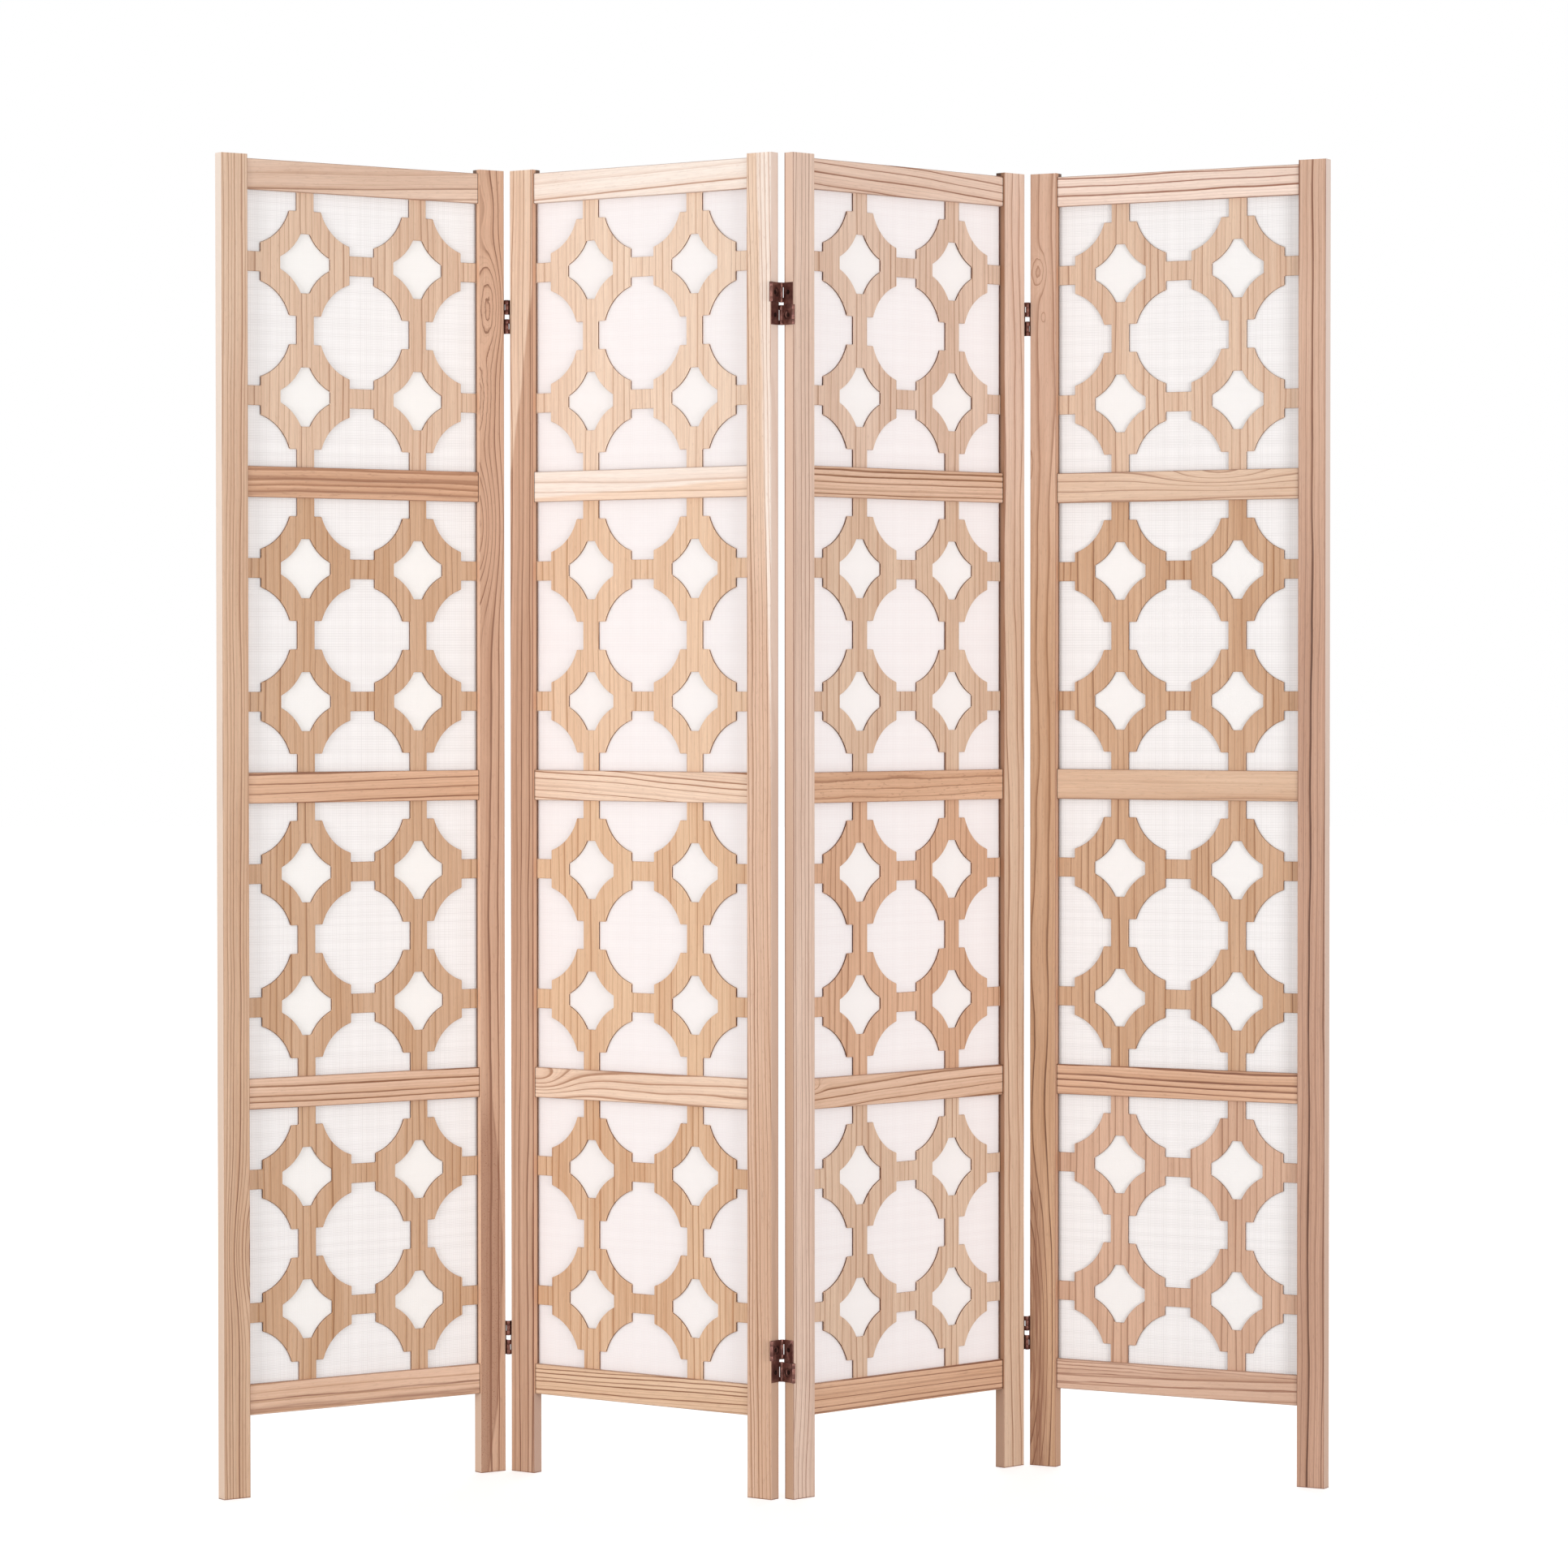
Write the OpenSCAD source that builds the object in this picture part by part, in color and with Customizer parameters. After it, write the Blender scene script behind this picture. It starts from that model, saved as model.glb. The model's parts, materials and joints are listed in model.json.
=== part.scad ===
// Folding screen of four panels, with fretwork boards over cloth and two-way hinges.
// Millimetres, +Z up. The screen stands in its zig-zag stance, its front towards -Y.
// Each panel is drawn flat, its front left corner at the origin, X across it and Y into it,
// and then put in its place in the stance.

/* [Panels] */
// Height of a stile, from the floor to its top
panel_h = 1700; // [1500:1:1900]
// Width of one panel
panel_w = 420; // [380:1:480]
// Width of a stile
stile_w = 38; // [32:1:50]
// Thickness of a stile, front to back
stile_t = 16; // [14:0.5:24]
// Height of a rail
rail_h = 39; // [34:1:50]
// How far the rails' fronts stand back from the stiles' fronts
rail_back = 2.5; // [0:0.1:4]
// Clear height under the bottom rail
leg_h = 104; // [60:1:160]
// How far the stiles stand above the top rail
horn_h = 5; // [0:1:20]
// Eased edge on the stiles and rails
arris = 0.7; // [0.2:0.1:1.5]

/* [Stance] */
// Turn of panel 1 from the line of the screen, in degrees
turn_angle = 35.4; // [10:0.1:60]
// Fold between panels 1 and 2, from flat, in degrees
left_angle = 71; // [20:0.5:110]
// Fold between panels 2 and 3, from flat, in degrees
centre_angle = 79; // [20:0.5:110]
// Fold between panels 3 and 4, from flat, in degrees
right_angle = 72.5; // [20:0.5:110]

/* [Fretwork] */
// Thickness of a fretwork board
fret_t = 3.2; // [2:0.1:4]
// Depth of the rebate that holds board and cloth, from the back
rebate_d = 8; // [4:0.5:9]
// Reach of the rebate under the frame, past the edge of the opening
rebate_lap = 6; // [4:0.5:6]
// Gap between the board's edge and the rebate's wall
board_gap = 0.5; // [0.2:0.1:1]
// Distance from the opening's edge in to the middles of the outermost rounds
edge_in = 5; // [0:0.5:12]
// Width of the straps between the rounds
strap_w = 25; // [16:1:30]
// How far a round's notches reach past its circle
notch_d = 8; // [4:0.5:12]
// Width of a notch
notch_w = 36.5; // [24:0.5:44]
// Wood between the tips of two neighbouring windows
tip_gap = 94; // [80:1:100]
// Shift of a window's hollow sides from the rounds' middles
hollow_in = 20; // [12:1:22]
// Thickness of the cloth
cloth_t = 0.5; // [0.3:0.1:0.8]

/* [Dowels] */
// Diameter of a dowel
dowel_d = 6; // [5:0.5:6]
// Depth of a dowel in each of the two pieces it joins
dowel_reach = 15; // [10:1:16]
// Distance of a dowel's axis from the rail's edge
dowel_in = 9.5; // [9.5:0.5:12]
// Room for glue past a dowel's end
glue_gap = 1; // [0.5:0.1:2]

/* [Hinges] */
// Height of the upper hinges' middles below the stiles' tops
hinge_top_in = 190; // [100:1:300]
// Height of the lower hinges' middles above the floor
hinge_low_z = 175; // [80:1:300]
// Height of one half of a hinge at the left and right folds
side_half_h = 19; // [17:0.5:30]
// Gap between the two halves of such a hinge
side_half_gap = 6; // [1:0.5:8]
// Height of one half of a hinge at the centre fold
centre_half_h = 25; // [17:0.5:30]
// Gap between the two halves of such a hinge
centre_half_gap = 3.5; // [1:0.5:8]
// Thickness of the hinge plates
plate_t = 1; // [0.8:0.1:1.5]
// Diameter of a hinge pin
pin_d = 2.8; // [2.5:0.1:4]
// Height of a leaf's knuckle
knuckle_h = 6; // [5:0.5:7]
// Gap between the knuckle and the stile's front or back
knuckle_off = 0.4; // [0.4:0.1:2]
// Diameter of the access hole in a link
access_d = 11; // [8:0.5:11]
// Diameter of a screw's head
head_d = 6; // [5:0.1:7]
// Diameter of a screw's shank
shank_d = 3; // [2.5:0.1:3.5]
// Length of a screw
screw_l = 16; // [12:1:19]

/* [Clearances] */
// Gap round a pin in its knuckle
pin_gap = 0.05; // [0.03:0.01:0.09]
// Gap round a dowel or screw in its hole
hole_gap = 0.05; // [0.02:0.01:0.2]
// Gap between neighbouring knuckles along a pin
knuckle_gap = 0.2; // [0.1:0.05:0.4]
// Gap between a link's plate and the knuckles beside it
link_gap = 0.4; // [0.3:0.1:0.8]

/* [Hidden] */
$fn = 48;
panel_count = 4;
panels = [1:panel_count];
centre_edge = 2; // the edge between panels 2 and 3
bottom_level = 0; // the rails' levels, from the floor up
lower_level = 1;
middle_level = 2;
upper_level = 3;
top_level = 4;
bay_count = top_level;
past = 1; // how far a cutter runs on past a face
stile_rgb = "#D2A98A";
rail_rgb = "#DDB592";
fret_rgb = "#D3A77F";
dowel_rgb = "#E0C49E";
cloth_rgb = "#F7F2F0";
hinge_rgb = "#6E4038";
screw_rgb = "#59372F";

bay_w = panel_w - 2 * stile_w;
bay_h = (panel_h - leg_h - horn_h - (bay_count + 1) * rail_h) / bay_count;
rail_pitch = rail_h + bay_h;
function rail_z(level) = leg_h + level * rail_pitch;

// fretwork: rounds on a square grid, windows midway between four of them
pitch_x = bay_w / 2 - edge_in;
pitch_z = bay_h / 2 - edge_in;
round_r = min(pitch_x, pitch_z) / 2 - strap_w / 2 - notch_d;
fret_y = stile_t - rebate_d;
board_w = bay_w + 2 * (rebate_lap - board_gap);
board_h = bay_h + 2 * (rebate_lap - board_gap);

// hinges: a front and a back pin line beyond each edge of a panel
knuckle_r = pin_d / 2 + pin_gap + plate_t;
pin_out = knuckle_r;
pin_off = knuckle_r + knuckle_off;
hinge_levels = [hinge_low_z, panel_h - hinge_top_in];
link_span = stile_t + 2 * pin_off;
pin_bore_r = pin_d / 2 + pin_gap;
function half_h() = $edge == centre_edge ? centre_half_h : side_half_h;
function half_gap() = $edge == centre_edge ? centre_half_gap : side_half_gap;
function hinge_h() = 2 * half_h() + half_gap();
function link_knuckle_h() = half_h() - 2 * (knuckle_h + knuckle_gap);

// stance: the panels' turns, and their front left corners in plan
turns = [turn_angle,
         turn_angle - left_angle,
         turn_angle - left_angle + centre_angle,
         turn_angle - left_angle + centre_angle - right_angle];
function along(a) = [cos(a), sin(a)];
function into(a) = [-sin(a), cos(a)];
function local(corner, a, p) = corner + p.x * along(a) + p.y * into(a);

left_front = [-pin_out, -pin_off];
left_back = [-pin_out, stile_t + pin_off];
right_front = [panel_w + pin_out, -pin_off];
right_back = [panel_w + pin_out, stile_t + pin_off];

centre_axis = [0, 0];
corner_2 = local(centre_axis, turns[1], -right_back);
corner_3 = local(centre_axis, turns[2], -left_back);
left_axis = local(corner_2, turns[1], left_front);
right_axis = local(corner_3, turns[2], right_front);
corner_1 = local(left_axis, turns[0], -right_front);
corner_4 = local(right_axis, turns[3], -left_front);
corners = [corner_1, corner_2, corner_3, corner_4];

// the screen's outline in plan, for an origin at the middle of its footprint
outline = [for (n = panels, p = [[0, 0], [panel_w, 0], [0, stile_t], [panel_w, stile_t]])
             local(corners[n - 1], turns[n - 1], p)];
barrels = concat(
    [for (n = panels, p = [right_front, right_back]) if (n < panel_count)
        local(corners[n - 1], turns[n - 1], p)],
    [for (n = panels, p = [left_front, left_back]) if (n > 1)
        local(corners[n - 1], turns[n - 1], p)]);
function low(axis) = min(min([for (p = outline) p[axis]]), min([for (p = barrels) p[axis]]) - knuckle_r);
function high(axis) = max(max([for (p = outline) p[axis]]), max([for (p = barrels) p[axis]]) + knuckle_r);
middle = [for (axis = [0, 1]) (low(axis) + high(axis)) / 2];
echo(fold_axes = [left_axis - middle, centre_axis - middle, right_axis - middle]);

PIECES = ["left_stile", "right_stile", "top_rail", "upper_rail", "middle_rail", "lower_rail",
          "bottom_rail", "fretwork", "cloth", "dowels", "hinge_leaves", "hinge_links",
          "hinge_pins", "hinge_screws"];

// ---- placing ----

// from a panel's own flat frame to its place in the stance
module in_stance(n) {
    translate(concat(corners[n - 1] - middle, 0)) rotate(turns[n - 1]) children();
}

// the middles of a panel's openings
module each_bay() {
    for (bay = [0:bay_count - 1])
        translate([panel_w / 2, 0, rail_z(bay) + rail_h + bay_h / 2]) children();
}

// the ends of the dowels' axes at the left edge of a rail, in that rail's height
module each_dowel() {
    for (z = [dowel_in, rail_h - dowel_in])
        translate([0, (rail_back + stile_t) / 2, z]) rotate([0, 90, 0]) children();
}

// the hinges on a panel's right edge: X out of the edge, Y to the back, Z from the hinge's middle;
// an edge between two panels has the number of the panel on its left
module right_hinges(n) {
    $edge = n;
    if (n < panel_count) for (z = hinge_levels) translate([panel_w, 0, z]) children();
}

// the hinges on its left edge, turned half round
module left_hinges(n) {
    $edge = n - 1;
    if (n > 1) for (z = hinge_levels) translate([0, stile_t, z]) rotate(180) children();
}

module each_hinge(n) {
    right_hinges(n) children();
    left_hinges(n) children();
}

// upper half as drawn, lower half turned over so that front and back change places
module in_half(upper) {
    if (upper) translate([0, 0, half_gap() / 2]) children();
    else translate([0, stile_t, -half_gap() / 2]) rotate([180, 0, 0]) children();
}

module each_half() {
    for (upper = [true, false]) in_half(upper) children();
}

// ---- frame ----

// bar with eased long edges, from a profile w by t, standing on its end
module bar(w, t, length) {
    linear_extrude(length)
        polygon([[arris, 0], [w - arris, 0], [w, arris], [w, t - arris],
                 [w - arris, t], [arris, t], [0, t - arris], [0, arris]]);
}

// the rebates round all openings, open to the back
module rebates() {
    each_bay()
        translate([0, fret_y + rebate_d / 2 + arris, 0])
            cube([bay_w + 2 * rebate_lap, rebate_d + 2 * arris, bay_h + 2 * rebate_lap], center = true);
}

// holes for the dowels of every rail, in the edge of a stile that faces the opening
module stile_dowel_holes() {
    for (level = [0:bay_count])
        translate([0, 0, rail_z(level)]) each_dowel()
            translate([0, 0, -dowel_reach - glue_gap])
                cylinder(d = dowel_d + 2 * hole_gap, h = dowel_reach + glue_gap + arris);
}

// pilot hole of a hinge screw, from the stile's edge inwards
module pilot() {
    rotate([0, -90, 0]) translate([0, 0, -arris])
        cylinder(d = shank_d + 2 * hole_gap, h = screw_l - plate_t + glue_gap + arris);
}

module left_stile(n) {
    color(stile_rgb) in_stance(n) difference() {
        bar(stile_w, stile_t, panel_h);
        rebates();
        translate([stile_w, 0, 0]) stile_dowel_holes();
        left_hinges(n) each_half() screw_place() pilot();
    }
}

module right_stile(n) {
    color(stile_rgb) in_stance(n) difference() {
        translate([panel_w - stile_w, 0, 0]) bar(stile_w, stile_t, panel_h);
        rebates();
        translate([panel_w - stile_w, 0, 0]) mirror([1, 0, 0]) stile_dowel_holes();
        right_hinges(n) each_half() screw_place() pilot();
    }
}

// rail between the stiles, counted from the bottom
module rail(n, level) {
    color(rail_rgb) in_stance(n) difference() {
        translate([stile_w, rail_back, rail_z(level)])
            rotate([90, 0, 90]) bar(stile_t - rail_back, rail_h, bay_w);
        rebates();
        translate([stile_w, 0, rail_z(level)]) rail_dowel_holes();
        translate([panel_w - stile_w, 0, rail_z(level)]) mirror([1, 0, 0]) rail_dowel_holes();
    }
}

module rail_dowel_holes() {
    each_dowel() translate([0, 0, -arris])
        cylinder(d = dowel_d + 2 * hole_gap, h = dowel_reach + glue_gap + arris);
}

module top_rail(n) { rail(n, top_level); }
module upper_rail(n) { rail(n, upper_level); }
module middle_rail(n) { rail(n, middle_level); }
module lower_rail(n) { rail(n, lower_level); }
module bottom_rail(n) { rail(n, bottom_level); }

module dowels(n) {
    color(dowel_rgb) in_stance(n)
        for (level = [0:bay_count], x = [stile_w, panel_w - stile_w])
            translate([x, 0, rail_z(level)]) each_dowel()
                cylinder(d = dowel_d, h = 2 * dowel_reach, center = true);
}

// ---- fretwork and cloth ----

// a round: a circle with a notch on each of its four sides
module round_window() {
    circle(r = round_r);
    square([notch_w, pitch_z - strap_w], center = true);
    square([pitch_x - strap_w, notch_w], center = true);
}

// a window midway between four rounds, with hollow sides and cut-off tips
module hollow_window() {
    difference() {
        square([pitch_x - tip_gap, pitch_z - tip_gap], center = true);
        for (sx = [-1, 1], sz = [-1, 1])
            translate([sx * (pitch_x / 2 - hollow_in), sz * (pitch_z / 2 - hollow_in)])
                circle(r = round_r);
    }
}

// one board, with a border that lies in the rebate
module fret_board() {
    linear_extrude(fret_t) difference() {
        square([board_w, board_h], center = true);
        intersection() {
            square([bay_w + 2 * board_gap, bay_h + 2 * board_gap], center = true);
            union() {
                for (i = [-1:1], j = [-1:1]) translate([i * pitch_x, j * pitch_z]) round_window();
                for (i = [-1, 1], j = [-1, 1])
                    translate([i * pitch_x / 2, j * pitch_z / 2]) hollow_window();
            }
        }
    }
}

module fretwork(n) {
    color(fret_rgb) in_stance(n) each_bay()
        translate([0, fret_y + fret_t, 0]) rotate([90, 0, 0]) fret_board();
}

// a pane of cloth glued flat on the back of each board
module cloth(n) {
    color(cloth_rgb) in_stance(n) each_bay()
        translate([0, fret_y + fret_t + cloth_t / 2, 0])
            cube([board_w, cloth_t, board_h], center = true);
}

// ---- hinges ----

// the middle of a screw's head in the upper half of a leaf
module screw_place() {
    translate([0, stile_t / 2, half_h() / 2]) children();
}

// the heights of a leaf's two knuckles in one half
module each_leaf_knuckle() {
    for (z = [0, half_h() - knuckle_h]) translate([0, 0, z]) children();
}

// plate on the stile's edge, rolled round the front pin above and the back pin below
module hinge_leaf() {
    difference() {
        union() {
            translate([0, 0, -hinge_h() / 2]) cube([plate_t, stile_t, hinge_h()]);
            each_half() each_leaf_knuckle() {
                translate([0, -pin_off, 0]) cube([plate_t, pin_off + arris, knuckle_h]);
                translate([pin_out, -pin_off, 0]) cylinder(r = knuckle_r, h = knuckle_h);
            }
        }
        each_half() {
            translate([pin_out, -pin_off, -past]) cylinder(r = pin_bore_r, h = half_h() + 2 * past);
            screw_place() rotate([0, 90, 0]) head_hole();
        }
    }
}

// countersunk hole for a screw's head, through a leaf's plate
module head_hole() {
    cylinder(d1 = shank_d + 2 * hole_gap, d2 = head_d + 2 * hole_gap, h = plate_t);
    translate([0, 0, -past]) cylinder(d = shank_d + 2 * hole_gap, h = past + plate_t / 2);
}

module hinge_leaves(n) {
    color(hinge_rgb) in_stance(n) each_hinge(n) hinge_leaf();
}

// crossed plate from a front pin to a back pin, in the upper half of a hinge
module hinge_link() {
    plate_in = knuckle_r + link_gap;
    knuckle_z = knuckle_h + knuckle_gap;
    translate([pin_out, -pin_off, 0]) difference() {
        union() {
            translate([-plate_t / 2, plate_in, 0])
                cube([plate_t, link_span - 2 * plate_in, half_h()]);
            translate([-plate_t / 2, 0, knuckle_z])
                cube([plate_t, link_span, link_knuckle_h()]);
            for (y = [0, link_span]) translate([0, y, knuckle_z])
                cylinder(r = knuckle_r, h = link_knuckle_h());
        }
        for (y = [0, link_span]) translate([0, y, knuckle_z - past])
            cylinder(r = pin_bore_r, h = link_knuckle_h() + 2 * past);
        translate([-plate_t, link_span / 2, half_h() / 2]) rotate([0, 90, 0])
            cylinder(d = access_d, h = 2 * plate_t);
    }
}

// a fold about the front pins keeps the upper link on its right panel and the lower one on its
// left panel, and the centre fold, about the back pins, the other way round
module hinge_links(n) {
    color(hinge_rgb) in_stance(n) {
        right_hinges(n) in_half(n == centre_edge) hinge_link();
        left_hinges(n) in_half(n - 1 != centre_edge) hinge_link();
    }
}

// each leaf keeps the pins of its own knuckles
module hinge_pins(n) {
    color(screw_rgb) in_stance(n) each_hinge(n) each_half()
        translate([pin_out, -pin_off, 0]) cylinder(d = pin_d, h = half_h());
}

// countersunk wood screw, its head's face at z = 0 and its point below
module wood_screw() {
    point_l = shank_d;
    slot_w = head_d / 8;
    slot_l = head_d * 0.6;
    difference() {
        union() {
            translate([0, 0, -plate_t]) cylinder(d1 = shank_d, d2 = head_d, h = plate_t);
            translate([0, 0, point_l - screw_l]) cylinder(d = shank_d, h = screw_l - point_l - plate_t / 2);
            translate([0, 0, -screw_l]) cylinder(d1 = shank_d / 8, d2 = shank_d, h = point_l);
        }
        for (a = [0, 90]) rotate(a) cube([slot_l, slot_w, plate_t], center = true);
    }
}

module hinge_screws(n) {
    color(screw_rgb) in_stance(n) each_hinge(n) each_half() screw_place()
        translate([plate_t, 0, 0]) rotate([0, 90, 0]) wood_screw();
}

// ---- nodes ----

for (n = panels) {
    left_stile(n);
    right_stile(n);
    top_rail(n);
    upper_rail(n);
    middle_rail(n);
    lower_rail(n);
    bottom_rail(n);
    fretwork(n);
    cloth(n);
    dowels(n);
    hinge_leaves(n);
    hinge_links(n);
    hinge_pins(n);
    hinge_screws(n);
}
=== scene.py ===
import json
import math

import bmesh
import bpy
from mathutils import Matrix, Vector


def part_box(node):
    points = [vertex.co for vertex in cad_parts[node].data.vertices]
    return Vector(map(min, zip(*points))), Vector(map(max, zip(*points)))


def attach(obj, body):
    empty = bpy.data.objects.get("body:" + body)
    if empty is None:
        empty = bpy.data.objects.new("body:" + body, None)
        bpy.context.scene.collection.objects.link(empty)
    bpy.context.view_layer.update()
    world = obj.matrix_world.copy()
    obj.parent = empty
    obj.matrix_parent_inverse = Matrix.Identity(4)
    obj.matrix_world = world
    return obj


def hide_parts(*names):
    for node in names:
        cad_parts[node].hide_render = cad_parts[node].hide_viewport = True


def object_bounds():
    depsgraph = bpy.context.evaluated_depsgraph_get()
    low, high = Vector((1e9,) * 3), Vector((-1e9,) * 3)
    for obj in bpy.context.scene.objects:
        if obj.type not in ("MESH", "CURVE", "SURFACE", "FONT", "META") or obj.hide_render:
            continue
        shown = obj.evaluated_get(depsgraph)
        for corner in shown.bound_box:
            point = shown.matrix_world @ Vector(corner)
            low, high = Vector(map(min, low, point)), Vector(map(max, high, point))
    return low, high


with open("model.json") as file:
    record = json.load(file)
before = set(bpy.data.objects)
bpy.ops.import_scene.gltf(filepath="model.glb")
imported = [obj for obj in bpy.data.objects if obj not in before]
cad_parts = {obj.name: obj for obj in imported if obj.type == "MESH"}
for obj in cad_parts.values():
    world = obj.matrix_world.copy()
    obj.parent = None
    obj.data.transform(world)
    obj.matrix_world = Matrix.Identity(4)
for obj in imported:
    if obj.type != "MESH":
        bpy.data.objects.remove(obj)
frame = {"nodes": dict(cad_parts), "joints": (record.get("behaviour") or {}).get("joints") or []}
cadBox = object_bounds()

panelNumbers = (1, 2, 3, 4)
railNames = ("bottom_rail", "lower_rail", "middle_rail", "upper_rail", "top_rail")  # from the floor up


def boxMiddle(node):
    low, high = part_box(node)
    return (low + high) / 2


def panelPlace(number):  # a panel's own frame: X across it, Y from its front to its back, Z up
    left = boxMiddle(f"panel_{number}_left_stile")
    right = boxMiddle(f"panel_{number}_right_stile")
    turn = math.atan2(right.y - left.y, right.x - left.x)
    middle = Vector(((left.x + right.x) / 2, (left.y + right.y) / 2, 0))
    matrix = Matrix.Translation(middle) @ Matrix.Rotation(turn, 4, "Z")
    return {"middle": middle, "turn": turn, "matrix": matrix, "stileMiddle": (right - left).length / 2}


places = {number: panelPlace(number) for number in panelNumbers}

# the sizes of the bars in the CAD, in metres
bar = {"stileThick": 0.016, "stileWide": 0.038, "railHigh": 0.039, "boardFront": 0.008}
railMiddles = [boxMiddle(f"panel_1_{name}").z for name in railNames]
bayMiddles = [(low + high) / 2 for low, high in zip(railMiddles, railMiddles[1:])]
openHigh = railMiddles[1] - railMiddles[0] - bar["railHigh"]
openWide = 2 * places[1]["stileMiddle"] - bar["stileWide"]
fretFront = bar["boardFront"] - bar["stileThick"] / 2  # the boards' fronts, from the middle of the stiles
print("frame read: opening", round(openWide, 4), "by", round(openHigh, 4))


# small helpers for objects, and for node trees, shading and geometry alike
def newObject(name, data):
    piece = bpy.data.objects.new(name, data)
    bpy.context.scene.collection.objects.link(piece)
    return piece


def appliedMesh(piece):  # the mesh that an object's modifiers give
    bpy.context.view_layer.update()
    evaluated = piece.evaluated_get(bpy.context.evaluated_depsgraph_get())
    return bpy.data.meshes.new_from_object(evaluated)


def fill(tree, socket, value):  # linked where the value comes from a node, or else set
    if isinstance(value, bpy.types.NodeSocket):
        tree.links.new(value, socket)
    else:
        socket.default_value = value


def feed(tree, node, inputs):
    for key, value in inputs.items():
        fill(tree, node.inputs[key], value)


def addNode(tree, kind, inputs=None, **settings):
    node = tree.nodes.new(kind)
    for key, value in settings.items():
        setattr(node, key, value)
    feed(tree, node, inputs or {})
    return node


def made(tree, kind, inputs=None, **settings):  # what a node gives first
    return addNode(tree, kind, inputs, **settings).outputs[0]


def addSockets(tree, side, kind, *labels):  # what a node group takes or gives
    for label in labels:
        tree.interface.new_socket(label, in_out=side, socket_type="NodeSocket" + kind)


def calc(tree, operation, first, second=None, third=None):
    values = {i: v for i, v in enumerate((first, second, third)) if v is not None}
    return made(tree, "ShaderNodeMath", values, operation=operation)


def times(tree, first, second):
    return calc(tree, "MULTIPLY", first, second)


def minus(tree, first, second):
    return calc(tree, "SUBTRACT", first, second)


def vectorCalc(tree, operation, first, second=None, result="Vector"):
    values = {i: v for i, v in enumerate((first, second)) if v is not None}
    return addNode(tree, "ShaderNodeVectorMath", values, operation=operation).outputs[result]


def axes(tree, vector):  # a vector's X, Y and Z
    return addNode(tree, "ShaderNodeSeparateXYZ", {0: vector}).outputs


def vectorFrom(tree, x=0.0, y=0.0, z=0.0):
    return made(tree, "ShaderNodeCombineXYZ", {0: x, 1: y, 2: z})


def objectPlace(tree):
    return addNode(tree, "ShaderNodeTexCoord").outputs["Object"]


def ease(tree, value, low, high, toLow=0.0, toHigh=1.0):  # smooth step from low to high
    inputs = {"Value": value, "From Min": low, "From Max": high, "To Min": toLow, "To Max": toHigh}
    return made(tree, "ShaderNodeMapRange", inputs, interpolation_type="SMOOTHSTEP")


def chanceOf(tree, number):  # a fixed value from 0 to 1 for each whole number
    return addNode(tree, "ShaderNodeTexWhiteNoise", {"W": number}, noise_dimensions="1D").outputs["Value"]


def bump(tree, height, strength, distance):
    inputs = {"Height": height, "Strength": strength, "Distance": distance}
    return made(tree, "ShaderNodeBump", inputs)


def mixColour(tree, factor, first, second, blend="MIX"):
    node = addNode(tree, "ShaderNodeMix", data_type="RGBA", blend_type=blend)
    sockets = {socket.identifier: socket for socket in node.inputs}
    for identifier, value in (("Factor_Float", factor), ("A_Color", first), ("B_Color", second)):
        fill(tree, sockets[identifier], value)
    return next(socket for socket in node.outputs if socket.identifier == "Result_Color")


def tone(code):  # a colour as it is seen, for a shader, by the screen's usual curve
    parts = [int(code[i:i + 2], 16) / 255 for i in (1, 3, 5)]
    return [((c + 0.055) / 1.055) ** 2.4 for c in parts] + [1.0]


# noise patterns: scale across and along the grain, shift, detail and roughness
patterns = {
    "bend": (20, 3.2, 0, 2.0, 0.5),
    "unrest": (110, 22, 3, 3.0, 0.5),
    "patches": (60, 9, 7, 3.0, 0.5),
    "clouds": (34, 2.2, 11, 3.0, 0.5),
    "streaks": (420, 7, 5, 3.0, 0.6),
    "fibres": (1500, 45, 2, 3.0, 0.65),
    "dashes": (620, 110, 17, 1.0, 0.5),
    "frill": (130, 70, 9, 3.0, 0.5),
    "sapEdge": (40, 9, 4, 3.0, 0.5),
    "bandEdge": (30, 12, 6, 3.0, 0.5),
    "bandStreaks": (500, 12, 8, 3.0, 0.5),
    "bandSpecks": (900, 500, 13, 1.0, 0.5),
    "scorch": (160, 160, 0, 3.0, 0.5),
    "threadsUp": (45, 45, 3, 2.0, 0.5),
    "threadsAcross": (45, 45, 9, 2.0, 0.5),
    "bronze": (130, 130, 0, 4.0, 0.6),
    "metalGrain": (2200, 2200, 0, 2.0, 0.5),
}
shiftShares = (1.0, 1.7, 0.6)  # how far a pattern's shift moves it along each axis

# smooth steps: from, to, and the results there, which are 0 and 1 where they aren't given
steps = {
    "lineChance": (0.05, 0.6, 0.3, 1.0),  # some rings end in a fainter line
    "lineStart": (0.6, 1.3, 1.0, 0.0),  # in line widths before the ring's end
    "lineEnd": (0.0, 0.2),
    "growth": (0.2, 3.0, 1.0, 0.0),
    "nearKnot": (0.002, 0.012, 0.0, 0.9),
    "patches": (0.3, 0.6, 0.75, 1.0),
    "clouds": (0.3, 0.7),
    "streaks": (0.35, 0.7),
    "dashes": (0.62, 0.74),
    "fibreShade": (0.3, 0.7, 0.94, 1.06),
    "fibreSheen": (0.25, 0.75, 0.42, 0.58),
    "bandStreaks": (0.3, 0.65, 0.35, 1.0),
    "bandSpecks": (0.62, 0.7),
    "bandInside": (-0.002, 0.0, 1.0, 0.0),
    "topTone": (0.2, 0.62),
    "scorch": (0.3, 0.7),
    "threadGap": (0.24, 0.46),
    "threadChance": (0.0, 1.0, 0.35, 1.0),
    "bronze": (0.35, 0.7),
    "centreHinge": (0.05, 0.12, 1.0, 0.0),
}


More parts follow.
